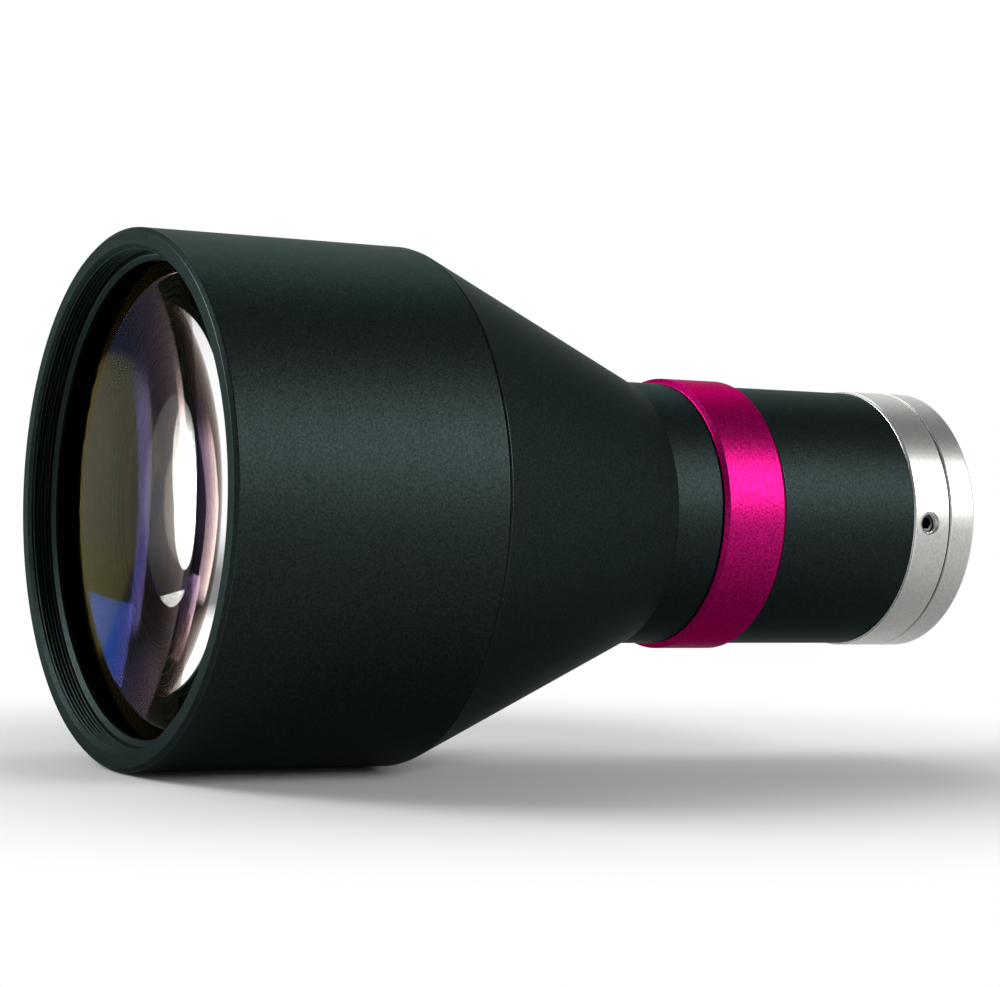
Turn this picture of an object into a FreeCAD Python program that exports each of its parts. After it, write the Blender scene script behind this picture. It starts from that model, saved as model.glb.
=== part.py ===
# Bi-telecentric lens with a screw mount for a camera, as turned metal parts and ground glass elements.
# The optical axis is Y. The front glass faces -Y, and the origin is the centre of the mount's flange face.
import FreeCAD, Part
import math
import os

from FreeCAD import Vector

os.makedirs("parts", exist_ok=True)

# Every length is in millimetres. Names that end in _R are radii about the optical axis.
# Names that end in _CURVE are the radii of ground glass surfaces, positive when the centre lies behind.

# Outside of the housing, front to back
BARREL_R = 34.0
TUBE_R = 18.0
CONE_LENGTH = 34.8
CONE_LEDGE = 0.4
NECK_LENGTH = 7.5
ACCENT_WIDTH = 10.0
ACCENT_STEP = 0.7
ACCENT_CHAMFER = 0.6
TUBE_LENGTH = 22.0
SLEEVE_LENGTH = 6.2
MOUNT_STEP = 0.25
MOUNT_RING_LENGTH = 4.6
RIM_CHAMFER = 0.5
SEAM_CHAMFER = 0.25

CONE_END_R = TUBE_R + CONE_LEDGE
ACCENT_R = TUBE_R + ACCENT_STEP
MOUNT_R = TUBE_R + MOUNT_STEP

# Clearances between pieces that slide or screw into each other
FIT = 0.05
SHOULDER_RELIEF = 0.1

# Front accessory thread and the ring that holds the front glass
RIM_WALL = 2.77
FRONT_THREAD_HEIGHT = 0.32
FRONT_MOUTH_CHAMFER = 0.6
FRONT_THREAD_DEPTH = 2.9
RING_LIP = 0.8
RING_LENGTH = 2.2
RING_TAPER = 0.45
RING_FACE_WIDTH = 0.8

FRONT_CREST_R = BARREL_R - RIM_WALL
FRONT_ROOT_R = FRONT_CREST_R + FRONT_THREAD_HEIGHT

# Front glass: cemented flint and crown, then a meniscus
# The EDGE lengths are the thickness of a positive element at its rim, from which its middle follows.
GLASS_WALL = 3.0
RING_COVER = 1.0
LIP_COVER = 2.5
GLASS_BEVEL = 0.3
FLINT_FRONT_CURVE = 600.0
FLINT_THICKNESS = 3.5
FRONT_CEMENT_CURVE = 88.0
CROWN_EDGE = 2.77
CROWN_REAR_CURVE = -115.0
MENISCUS_GAP = 0.8
MENISCUS_FRONT_CURVE = 54.0
MENISCUS_EDGE = 2.52
MENISCUS_REAR_CURVE = 190.0

FRONT_GLASS_R = BARREL_R - GLASS_WALL
FRONT_CLEAR_R = FRONT_GLASS_R - RING_COVER
REAR_CLEAR_R = FRONT_GLASS_R - LIP_COVER

# Joint between the barrel and the cone housing
SEAT_LIP_LENGTH = 1.8
SEAT_LIP_WIDTH = 2.4
JOINT_LENGTH = 5.1
JOINT_WALL = 2.4

SEAT_LIP_R = FRONT_GLASS_R - SEAT_LIP_WIDTH
JOINT_R = BARREL_R - JOINT_WALL

# Body tube, which screws into the neck and carries the stop and the rear glass
SPIGOT_LENGTH = 6.5
NECK_WALL = 2.2
ACCENT_SEAT_DEPTH = 1.0
TUBE_WALL = 5.0
STOP_SETBACK = 0.6
SEAT_RING_LENGTH = 1.2
SEAT_RING_WIDTH = 4.0
STOP_THICKNESS = 0.3
STOP_HOLE_R = 1.5

SPIGOT_R = TUBE_R - NECK_WALL
ACCENT_SEAT_R = TUBE_R - ACCENT_SEAT_DEPTH
TUBE_BORE_R = TUBE_R - TUBE_WALL
SEAT_RING_R = TUBE_BORE_R - SEAT_RING_WIDTH

# Light baffles, and the cavity between them in the cone housing
BAFFLE_THICKNESS = 0.8
BAFFLE_LAND = 0.2
BAFFLE_BEVEL = 0.9
FRONT_BAFFLE_WALL = 2.3
FRONT_BAFFLE_WIDTH = 3.7
FRONT_BAFFLE_SETBACK = 1.2
FRONT_BAFFLE_LEDGE = 1.1
REAR_BAFFLE_WIDTH = 6.2
REAR_BAFFLE_LEDGE = 1.4

FRONT_BAFFLE_R = JOINT_R - FRONT_BAFFLE_WALL
FRONT_BAFFLE_HOLE_R = FRONT_BAFFLE_R - FRONT_BAFFLE_WIDTH
REAR_BAFFLE_HOLE_R = SPIGOT_R - REAR_BAFFLE_WIDTH
CAVITY_FRONT_R = FRONT_BAFFLE_R - FRONT_BAFFLE_LEDGE
CAVITY_REAR_R = SPIGOT_R - REAR_BAFFLE_LEDGE

# Cell of the rear glass
CELL_LIP_LENGTH = 1.95
CELL_STEP = 8.0
CELL_TAIL = 0.3
CELL_WALL = 2.05
CELL_SHELF = 3.0
SMALL_COVER = 1.95
LARGE_COVER = 0.95

LARGE_GLASS_R = TUBE_BORE_R - CELL_WALL
LARGE_CLEAR_R = LARGE_GLASS_R - LARGE_COVER
SMALL_GLASS_R = LARGE_GLASS_R - CELL_SHELF
CELL_MOUTH_R = SMALL_GLASS_R - SMALL_COVER

# Rear glass: a concave element, a cemented flint and crown, and a biconvex element
CONCAVE_FRONT_CURVE = -28.0
CONCAVE_THICKNESS = 1.8
CONCAVE_REAR_CURVE = 42.0
DOUBLET_GAP = 6.0
REAR_FLINT_CURVE = 62.0
REAR_FLINT_THICKNESS = 1.5
REAR_CEMENT_CURVE = 20.0
REAR_CROWN_EDGE = 1.45
REAR_CROWN_CURVE = -23.0
CONVEX_GAP = 0.6
CONVEX_FRONT_CURVE = 26.5
CONVEX_EDGE = 0.99
CONVEX_REAR_CURVE = -48.0
REAR_RING_LENGTH = 1.45

# Spanner slots in the ring and the cell, two of each
SLOT_WIDTH = 1.6
SLOT_DEPTH = 0.9

# Mount: sleeve, shim, turning ring with the male thread, and its set screws
# The male thread, its undercut and its throat have the sizes of the camera's standard mount.
SLEEVE_SPIGOT_LENGTH = 5.0
SOCKET_WALL = 2.0
SLEEVE_BORE_ROOM = 0.6
SLEEVE_WALL = 3.0
SLEEVE_WEB = 0.8
SHIM_THICKNESS = 0.2
TURNING_BORE_ROOM = 0.2
GROOVE_DEPTH = 1.0
THREAD_R = 12.7
THREAD_LENGTH = 4.0
THREAD_CHAMFER = 0.4
THREAD_WALL = 1.5
FLANGE_CHAMFER = 0.5
UNDERCUT_WIDTH = 0.9
UNDERCUT_DEPTH = 0.4
SCREW_COUNT = 3
SCREW_SETBACK = 2.6
SCREW_HOLE_R = 1.5
SCREW_COUNTERSINK = 0.2
SCREW_SUNK = 0.85
SOCKET_ACROSS_FLATS = 1.5
SOCKET_DEPTH = 1.2
POINT_FLAT_R = 0.3
POINT_GAP = 0.05

SLEEVE_SPIGOT_R = TUBE_R - SOCKET_WALL
SLEEVE_BORE_R = TUBE_BORE_R + SLEEVE_BORE_ROOM
TURNING_R = MOUNT_R - SLEEVE_WALL
TURNING_BORE_R = TUBE_BORE_R + TURNING_BORE_ROOM
THROAT_R = THREAD_R - THREAD_WALL
UNDERCUT_R = THREAD_R + UNDERCUT_WIDTH


def sag(curve, radius):
    """How far behind its vertex a ground surface lies at this radius."""
    return curve - math.copysign(math.sqrt(curve**2 - radius**2), curve)


def middle(edge, front, rear):
    """The thickness on the axis of an element from that at its rim. Each side is (curve, radius of the rim)."""
    return edge + sag(*front) - sag(*rear)


CROWN_THICKNESS = middle(
    CROWN_EDGE,
    (FRONT_CEMENT_CURVE, FRONT_GLASS_R),
    (CROWN_REAR_CURVE, REAR_CLEAR_R),
)
MENISCUS_THICKNESS = middle(
    MENISCUS_EDGE,
    (MENISCUS_FRONT_CURVE, REAR_CLEAR_R),
    (MENISCUS_REAR_CURVE, REAR_CLEAR_R),
)
REAR_CROWN_THICKNESS = middle(
    REAR_CROWN_EDGE,
    (REAR_CEMENT_CURVE, LARGE_GLASS_R),
    (REAR_CROWN_CURVE, LARGE_CLEAR_R),
)
CONVEX_THICKNESS = middle(
    CONVEX_EDGE,
    (CONVEX_FRONT_CURVE, LARGE_CLEAR_R),
    (CONVEX_REAR_CURVE, LARGE_CLEAR_R),
)

# Places along the axis, as distances behind the front rim
RING_REAR = FRONT_THREAD_DEPTH + RING_LENGTH
FLINT_SEAT = FRONT_THREAD_DEPTH + RING_LIP
FLINT_VERTEX = FLINT_SEAT - sag(FLINT_FRONT_CURVE, FRONT_CLEAR_R)
CEMENT_VERTEX = FLINT_VERTEX + FLINT_THICKNESS
CROWN_VERTEX = CEMENT_VERTEX + CROWN_THICKNESS
CROWN_SEAT = CROWN_VERTEX + sag(CROWN_REAR_CURVE, REAR_CLEAR_R)
MENISCUS_VERTEX = CROWN_VERTEX + MENISCUS_GAP
MENISCUS_SEAT = MENISCUS_VERTEX + sag(MENISCUS_FRONT_CURVE, REAR_CLEAR_R)
MENISCUS_REAR_VERTEX = MENISCUS_VERTEX + MENISCUS_THICKNESS
LIP_FRONT = MENISCUS_REAR_VERTEX + sag(MENISCUS_REAR_CURVE, REAR_CLEAR_R)
LIP_REAR = LIP_FRONT + SEAT_LIP_LENGTH

BARREL_END = LIP_REAR + JOINT_LENGTH
CONE_END = BARREL_END + CONE_LENGTH
NECK_END = CONE_END + NECK_LENGTH
ACCENT_END = NECK_END + ACCENT_WIDTH
TUBE_END = ACCENT_END + TUBE_LENGTH
SLEEVE_END = TUBE_END + SLEEVE_LENGTH
FLANGE = SLEEVE_END + MOUNT_RING_LENGTH
THREAD_END = FLANGE + THREAD_LENGTH

FRONT_BAFFLE_REAR = BARREL_END + FRONT_BAFFLE_SETBACK
SPIGOT_FRONT = NECK_END - SPIGOT_LENGTH
REAR_BAFFLE_FRONT = SPIGOT_FRONT - BAFFLE_THICKNESS

STOP_FRONT = ACCENT_END + STOP_SETBACK
CELL_FRONT = STOP_FRONT + STOP_THICKNESS
CONCAVE_SEAT = CELL_FRONT + CELL_LIP_LENGTH
CONCAVE_VERTEX = CONCAVE_SEAT - sag(CONCAVE_FRONT_CURVE, CELL_MOUTH_R)
CONCAVE_REAR_VERTEX = CONCAVE_VERTEX + CONCAVE_THICKNESS
CONCAVE_REAR_SEAT = CONCAVE_REAR_VERTEX + sag(CONCAVE_REAR_CURVE, CELL_MOUTH_R)
CELL_SHOULDER = CELL_FRONT + CELL_STEP
DOUBLET_VERTEX = CONCAVE_REAR_VERTEX + DOUBLET_GAP
DOUBLET_SEAT = DOUBLET_VERTEX + sag(REAR_FLINT_CURVE, LARGE_CLEAR_R)
REAR_CEMENT_VERTEX = DOUBLET_VERTEX + REAR_FLINT_THICKNESS
REAR_CROWN_VERTEX = REAR_CEMENT_VERTEX + REAR_CROWN_THICKNESS
REAR_CROWN_SEAT = REAR_CROWN_VERTEX + sag(REAR_CROWN_CURVE, LARGE_CLEAR_R)
CONVEX_VERTEX = REAR_CROWN_VERTEX + CONVEX_GAP
CONVEX_SEAT = CONVEX_VERTEX + sag(CONVEX_FRONT_CURVE, LARGE_CLEAR_R)
CONVEX_REAR_VERTEX = CONVEX_VERTEX + CONVEX_THICKNESS
CONVEX_REAR_SEAT = CONVEX_REAR_VERTEX + sag(CONVEX_REAR_CURVE, LARGE_CLEAR_R)
REAR_RING_END = CONVEX_REAR_SEAT + REAR_RING_LENGTH
CELL_END = REAR_RING_END + CELL_TAIL

SLEEVE_SPIGOT_FRONT = TUBE_END - SLEEVE_SPIGOT_LENGTH
SHIM_FRONT = TUBE_END + SLEEVE_WEB
TURNING_FRONT = SHIM_FRONT + SHIM_THICKNESS
SCREW_PLACE = TUBE_END + SCREW_SETBACK


def point(behind_rim, radius):
    """A point of a profile, in the half plane where x is negative, so that no seam meets the first screw."""
    return Vector(-radius, behind_rim - FLANGE, 0)


def turned(profile):
    """A solid of revolution about the optical axis from corners given as (distance behind the rim, radius)."""
    corners = [point(*corner) for corner in profile]
    outline = Part.makePolygon(corners + corners[:1])
    return Part.Face(outline).revolve(Vector(0, 0, 0), Vector(0, 1, 0), 360)


def washer(front, rear, inner_r, outer_r):
    """A plain ring with square corners."""
    return turned([(front, inner_r), (rear, inner_r), (rear, outer_r), (front, outer_r)])


def surface(vertex, curve, radius):
    """The arc of a ground surface from the axis out to this radius."""
    half_way = radius / 2
    return Part.Arc(
        point(vertex, 0),
        point(vertex + sag(curve, half_way), half_way),
        point(vertex + sag(curve, radius), radius),
    ).toShape()


def glass(front, rear, edge_r):
    """A glass element. Each side is (vertex, curve, clear radius), with a flat seat from there to a bevelled edge.

    A cemented side is curved right out to the edge, so it has no seat and no bevel.
    """
    edges = []
    rim = []
    for vertex, curve, clear_r in (front, rear):
        edges.append(surface(vertex, curve, clear_r))
        place = vertex + sag(curve, clear_r)
        inward = GLASS_BEVEL if vertex == front[0] else -GLASS_BEVEL
        corners = [point(place, clear_r)]
        if clear_r < edge_r:
            corners.append(point(place, edge_r - GLASS_BEVEL))
            corners.append(point(place + inward, edge_r))
        rim.append(corners)
    corners = rim[0] + rim[1][::-1]
    edges.append(Part.makePolygon(corners))
    edges.append(Part.makeLine(point(front[0], 0), point(rear[0], 0)))
    outline = Part.Wire(Part.__sortEdges__([edge for shape in edges for edge in shape.Edges]))
    return Part.Face(outline).revolve(Vector(0, 0, 0), Vector(0, 1, 0), 360)


def spanner_slots(rear, inner_r, outer_r):
    """Two slots, opposite each other, cut into a rear face."""
    slots = []
    for side in (-1, 1):
        middle = side * (inner_r + outer_r) / 2
        width = outer_r - inner_r + 2 * FIT
        slots.append(
            Part.makeBox(
                width + SLOT_DEPTH,
                SLOT_DEPTH + FIT,
                SLOT_WIDTH,
                Vector(middle - (width + SLOT_DEPTH) / 2, rear - FLANGE - SLOT_DEPTH, -SLOT_WIDTH / 2),
            )
        )
    return slots


def front_barrel():
    """The wide barrel: front thread, stepped seat for the front glass, and the socket for the cone housing."""
    return turned(
        [
            (0, BARREL_R - RIM_CHAMFER),
            (0, FRONT_CREST_R + FRONT_MOUTH_CHAMFER),
            (FRONT_MOUTH_CHAMFER, FRONT_CREST_R),
            (FRONT_THREAD_DEPTH, FRONT_CREST_R),
            (FRONT_THREAD_DEPTH, FRONT_ROOT_R),
            (RING_REAR, FRONT_ROOT_R),
            (RING_REAR, FRONT_GLASS_R + FIT),
            (LIP_FRONT, FRONT_GLASS_R + FIT),
            (LIP_FRONT, SEAT_LIP_R),
            (LIP_REAR, SEAT_LIP_R),
            (LIP_REAR, JOINT_R + FIT),
            (BARREL_END, JOINT_R + FIT),
            (BARREL_END, BARREL_R - SEAM_CHAMFER),
            (BARREL_END - SEAM_CHAMFER, BARREL_R),
            (RIM_CHAMFER, BARREL_R),
        ]
    )


def front_retaining_ring():
    """The threaded ring: its lip holds the edge of the front glass, and its skirt reaches round the glass."""
    outer_r = FRONT_ROOT_R - FIT
    lip_r = FRONT_CLEAR_R + FIT
    skirt_r = FRONT_GLASS_R + FIT
    return turned(
        [
            (FRONT_THREAD_DEPTH, outer_r),
            (FRONT_THREAD_DEPTH, outer_r - RING_FACE_WIDTH),
            (FRONT_THREAD_DEPTH + RING_TAPER, lip_r),
            (FLINT_SEAT, lip_r),
            (FLINT_SEAT, skirt_r),
            (RING_REAR, skirt_r),
            (RING_REAR, outer_r),
        ]
    )


def cone_housing():
    """The cone and neck, turned in one piece, with a spigot in front and a threaded bore behind."""
    slope = (CONE_END_R - BARREL_R) / CONE_LENGTH
    neck_bore_r = SPIGOT_R + FIT
    return turned(
        [
            (LIP_REAR + SHOULDER_RELIEF, JOINT_R),
            (BARREL_END, JOINT_R),
            (BARREL_END, BARREL_R - SEAM_CHAMFER),
            (BARREL_END + SEAM_CHAMFER, BARREL_R + slope * SEAM_CHAMFER),
            (CONE_END, CONE_END_R),
            (CONE_END, TUBE_R),
            (NECK_END - SEAM_CHAMFER, TUBE_R),
            (NECK_END, TUBE_R - SEAM_CHAMFER),
            (NECK_END, neck_bore_r),
            (REAR_BAFFLE_FRONT, neck_bore_r),
            (REAR_BAFFLE_FRONT, CAVITY_REAR_R),
            (FRONT_BAFFLE_REAR, CAVITY_FRONT_R),
            (FRONT_BAFFLE_REAR, FRONT_BAFFLE_R + FIT),
            (LIP_REAR + SHOULDER_RELIEF, FRONT_BAFFLE_R + FIT),
        ]
    )


def baffle(front, outer_r, hole_r):
    """A thin disc with a knife-edged hole that catches stray light."""
    rear = front + BAFFLE_THICKNESS
    return turned(
        [
            (front, outer_r),
            (front, hole_r),
            (front + BAFFLE_LAND, hole_r),
            (rear, hole_r + BAFFLE_BEVEL),
            (rear, outer_r),
        ]
    )


def accent_ring():
    """The coloured ring, which is held between the neck and the shoulder of the body tube."""
    inner_r = ACCENT_SEAT_R + FIT
    return turned(
        [
            (NECK_END, inner_r),
            (NECK_END, ACCENT_R - ACCENT_CHAMFER),
            (NECK_END + ACCENT_CHAMFER, ACCENT_R),
            (ACCENT_END - ACCENT_CHAMFER, ACCENT_R),
            (ACCENT_END, ACCENT_R - ACCENT_CHAMFER),
            (ACCENT_END, inner_r),
        ]
    )


def body_tube():
    """The rear tube: spigot, seat of the coloured ring, bore for the cell, and socket for the sleeve."""
    socket_r = SLEEVE_SPIGOT_R + FIT
    socket_floor = SLEEVE_SPIGOT_FRONT - SHOULDER_RELIEF
    return turned(
        [
            (SPIGOT_FRONT, TUBE_BORE_R),
            (SPIGOT_FRONT, SPIGOT_R),
            (NECK_END, SPIGOT_R),
            (NECK_END, ACCENT_SEAT_R),
            (ACCENT_END, ACCENT_SEAT_R),
            (ACCENT_END, TUBE_R - SEAM_CHAMFER),
            (ACCENT_END + SEAM_CHAMFER, TUBE_R),
            (TUBE_END, TUBE_R),
            (TUBE_END, socket_r),
            (socket_floor, socket_r),
            (socket_floor, TUBE_BORE_R),
        ]
    )


def rear_lens_cell():
    """The tube that carries the rear glass. It screws in from behind and presses on the stop."""
    outer_r = TUBE_BORE_R - FIT
    large_bore_r = LARGE_GLASS_R + FIT
    cell = turned(
        [
            (CELL_FRONT, CELL_MOUTH_R),
            (CELL_FRONT, outer_r),
            (CELL_END, outer_r),
            (CELL_END, large_bore_r),
            (CELL_SHOULDER, large_bore_r),
            (CELL_SHOULDER, SMALL_GLASS_R + FIT),
            (CONCAVE_SEAT, SMALL_GLASS_R + FIT),
            (CONCAVE_SEAT, CELL_MOUTH_R),
        ]
    )
    return cell.cut(spanner_slots(CELL_END, large_bore_r, outer_r))


def cell_spacer():
    """The stepped spacer between the concave element and the rear doublet, with a flared bore."""
    shoulder = CELL_SHOULDER + SHOULDER_RELIEF
    return turned(
        [
            (CONCAVE_REAR_SEAT, CELL_MOUTH_R),
            (CONCAVE_REAR_SEAT, SMALL_GLASS_R),
            (shoulder, SMALL_GLASS_R),
            (shoulder, LARGE_GLASS_R),
            (DOUBLET_SEAT, LARGE_GLASS_R),
            (DOUBLET_SEAT, LARGE_CLEAR_R),
        ]
    )


def rear_retaining_ring():
    """The threaded ring that holds the rear glass in its cell."""
    ring = washer(CONVEX_REAR_SEAT, REAR_RING_END, LARGE_CLEAR_R, LARGE_GLASS_R)
    return ring.cut(spanner_slots(REAR_RING_END, LARGE_CLEAR_R, LARGE_GLASS_R))


def screw_frames():
    """The angle of each set screw about the axis. The first points along +X."""
    return [360 * turn / SCREW_COUNT for turn in range(SCREW_COUNT)]


def placed_round_axis(shape, angle):
    """A copy of a shape that was made along +X at the origin, moved to the screws' place and turned."""
    copy = shape.copy()
    copy.translate(Vector(0, SCREW_PLACE - FLANGE, 0))
    copy.rotate(Vector(0, 0, 0), Vector(0, 1, 0), angle)
    return copy


def screw_hole():
    """A radial hole through the sleeve with a small countersink at the surface."""
    along = Vector(1, 0, 0)
    inner = TURNING_R - SCREW_HOLE_R
    drill = Part.makeCylinder(SCREW_HOLE_R, MOUNT_R - inner + SCREW_HOLE_R, Vector(inner, 0, 0), along)
    sink = Part.makeCone(
        SCREW_HOLE_R - SCREW_COUNTERSINK,
        SCREW_HOLE_R + 2 * SCREW_COUNTERSINK,
        3 * SCREW_COUNTERSINK,
        Vector(MOUNT_R - 2 * SCREW_COUNTERSINK, 0, 0),
        along,
    )
    return drill.fuse(sink)


def mount_sleeve():
    """The front part of the mount: a spigot that screws into the body tube and a socket with the screw holes."""
    sleeve = turned(
        [
            (SLEEVE_SPIGOT_FRONT, SLEEVE_BORE_R),
            (SLEEVE_SPIGOT_FRONT, SLEEVE_SPIGOT_R),
            (TUBE_END, SLEEVE_SPIGOT_R),
            (TUBE_END, MOUNT_R - SEAM_CHAMFER),
            (TUBE_END + SEAM_CHAMFER, MOUNT_R),
            (SLEEVE_END - SEAM_CHAMFER, MOUNT_R),
            (SLEEVE_END, MOUNT_R - SEAM_CHAMFER),
            (SLEEVE_END, TURNING_R + FIT),
            (SHIM_FRONT, TURNING_R + FIT),
            (SHIM_FRONT, SLEEVE_BORE_R),
        ]
    )
    return sleeve.cut([placed_round_axis(screw_hole(), angle) for angle in screw_frames()])


def c_mount_ring():
    """The turning part of the mount: grooved spigot, flange, undercut, and the male thread at its crest radius."""
    bore_end = CELL_END + SHIM_THICKNESS
    return turned(
        [
            (TURNING_FRONT, TURNING_BORE_R),
            (TURNING_FRONT, TURNING_R),
            (SCREW_PLACE - GROOVE_DEPTH, TURNING_R),
            (SCREW_PLACE, TURNING_R - GROOVE_DEPTH),
            (SCREW_PLACE + GROOVE_DEPTH, TURNING_R),
            (SLEEVE_END, TURNING_R),
            (SLEEVE_END, MOUNT_R - SEAM_CHAMFER),
            (SLEEVE_END + SEAM_CHAMFER, MOUNT_R),
            (FLANGE - FLANGE_CHAMFER, MOUNT_R),
            (FLANGE, MOUNT_R - FLANGE_CHAMFER),
            (FLANGE, UNDERCUT_R),
            (FLANGE - UNDERCUT_DEPTH, UNDERCUT_R),
            (FLANGE - UNDERCUT_DEPTH, THREAD_R),
            (THREAD_END - THREAD_CHAMFER, THREAD_R),
            (THREAD_END, THREAD_R - THREAD_CHAMFER),
            (THREAD_END, THROAT_R),
            (bore_end, THROAT_R),
            (bore_end, TURNING_BORE_R),
        ]
    )


def set_screw():
    """A socket set screw along +X whose cone point stands in the groove of the turning ring."""
    shank_r = SCREW_HOLE_R - FIT
    tip = TURNING_R - GROOVE_DEPTH + POINT_FLAT_R + POINT_GAP
    shoulder = tip + shank_r - POINT_FLAT_R
    head = MOUNT_R - SCREW_SUNK
    outline = Part.makePolygon(
        [
            Vector(tip, 0, 0),
            Vector(tip, POINT_FLAT_R, 0),
            Vector(shoulder, shank_r, 0),
            Vector(head, shank_r, 0),
            Vector(head, 0, 0),
            Vector(tip, 0, 0),
        ]
    )
    screw = Part.Face(outline).revolve(Vector(0, 0, 0), Vector(1, 0, 0), 360)
    corner_r = SOCKET_ACROSS_FLATS / math.sqrt(3)
    floor = head - SOCKET_DEPTH
    corners = []
    for corner in range(6):
        turn = math.radians(60 * corner)
        corners.append(Vector(floor, corner_r * math.cos(turn), corner_r * math.sin(turn)))
    hexagon = Part.Face(Part.makePolygon(corners + corners[:1]))
    return screw.cut(hexagon.extrude(Vector(2 * SOCKET_DEPTH, 0, 0)))


def mount_set_screws():
    """The set screws as separate solids."""
    return Part.makeCompound([placed_round_axis(set_screw(), angle) for angle in screw_frames()])


def front_glass():
    """The three elements of the front group, by name."""
    seat_r = FRONT_GLASS_R
    cement = (CEMENT_VERTEX, FRONT_CEMENT_CURVE, seat_r)
    return {
        "front_flint_element": glass((FLINT_VERTEX, FLINT_FRONT_CURVE, FRONT_CLEAR_R), cement, seat_r),
        "front_crown_element": glass(cement, (CROWN_VERTEX, CROWN_REAR_CURVE, REAR_CLEAR_R), seat_r),
        "front_meniscus_element": glass(
            (MENISCUS_VERTEX, MENISCUS_FRONT_CURVE, REAR_CLEAR_R),
            (MENISCUS_REAR_VERTEX, MENISCUS_REAR_CURVE, REAR_CLEAR_R),
            seat_r,
        ),
    }


def rear_glass():
    """The four elements of the rear group, by name."""
    cement = (REAR_CEMENT_VERTEX, REAR_CEMENT_CURVE, LARGE_GLASS_R)
    return {
        "rear_concave_element": glass(
            (CONCAVE_VERTEX, CONCAVE_FRONT_CURVE, CELL_MOUTH_R),
            (CONCAVE_REAR_VERTEX, CONCAVE_REAR_CURVE, CELL_MOUTH_R),
            SMALL_GLASS_R,
        ),
        "rear_flint_element": glass((DOUBLET_VERTEX, REAR_FLINT_CURVE, LARGE_CLEAR_R), cement, LARGE_GLASS_R),
        "rear_crown_element": glass(cement, (REAR_CROWN_VERTEX, REAR_CROWN_CURVE, LARGE_CLEAR_R), LARGE_GLASS_R),
        "rear_convex_element": glass(
            (CONVEX_VERTEX, CONVEX_FRONT_CURVE, LARGE_CLEAR_R),
            (CONVEX_REAR_VERTEX, CONVEX_REAR_CURVE, LARGE_CLEAR_R),
            LARGE_GLASS_R,
        ),
    }


def rings_and_discs():
    """The plain turned rings and discs, by name."""
    return {
        "front_spacer_ring": washer(CROWN_SEAT, MENISCUS_SEAT, REAR_CLEAR_R, FRONT_GLASS_R),
        "front_baffle": baffle(FRONT_BAFFLE_REAR - BAFFLE_THICKNESS, FRONT_BAFFLE_R, FRONT_BAFFLE_HOLE_R),
        "rear_baffle": baffle(REAR_BAFFLE_FRONT, SPIGOT_R, REAR_BAFFLE_HOLE_R),
        "stop_seat_ring": washer(STOP_FRONT - SEAT_RING_LENGTH, STOP_FRONT, SEAT_RING_R, TUBE_BORE_R - FIT),
        "aperture_stop": washer(STOP_FRONT, CELL_FRONT, STOP_HOLE_R, TUBE_BORE_R - FIT),
        "rear_spacer_ring": washer(REAR_CROWN_SEAT, CONVEX_SEAT, LARGE_CLEAR_R, LARGE_GLASS_R),
        "back_focus_shim": washer(SHIM_FRONT, TURNING_FRONT, SLEEVE_BORE_R, TURNING_R),
    }


pieces = {
    "front_barrel": front_barrel(),
    "front_retaining_ring": front_retaining_ring(),
    "cone_housing": cone_housing(),
    "accent_ring": accent_ring(),
    "body_tube": body_tube(),
    "rear_lens_cell": rear_lens_cell(),
    "cell_spacer": cell_spacer(),
    "rear_retaining_ring": rear_retaining_ring(),
    "mount_sleeve": mount_sleeve(),
    "c_mount_ring": c_mount_ring(),
    "mount_set_screws": mount_set_screws(),
}
pieces.update(front_glass())
pieces.update(rear_glass())
pieces.update(rings_and_discs())

for name, shape in pieces.items():
    shape.exportStep(f"parts/{name}.step")
    valid = "valid" if shape.isValid() else "NOT VALID"
    print(f"{name}: {len(shape.Solids)} solid, {shape.Volume / 1000:.2f} cm3, {valid}")
print(f"from the front rim to the flange {FLANGE:.2f} mm, barrel {BARREL_END:.2f} mm, stop at {STOP_FRONT:.2f} mm")
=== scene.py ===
# %% [markdown]
# # A bi-telecentric lens
# This lens looks straight ahead along its own axis, so things near and far appear at the same size. It is a stack
# of turned metal tubes and ground glass: a wide black barrel with the front glass, a cone, a rear tube with a
# coloured ring, and a silver mount for a camera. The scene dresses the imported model: each metal part gets its
# finish, its threads and its broken edges, and each glass element its true curves and its coating.

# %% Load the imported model
import math

import bpy
import bmesh
from mathutils import Matrix, Vector


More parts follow.
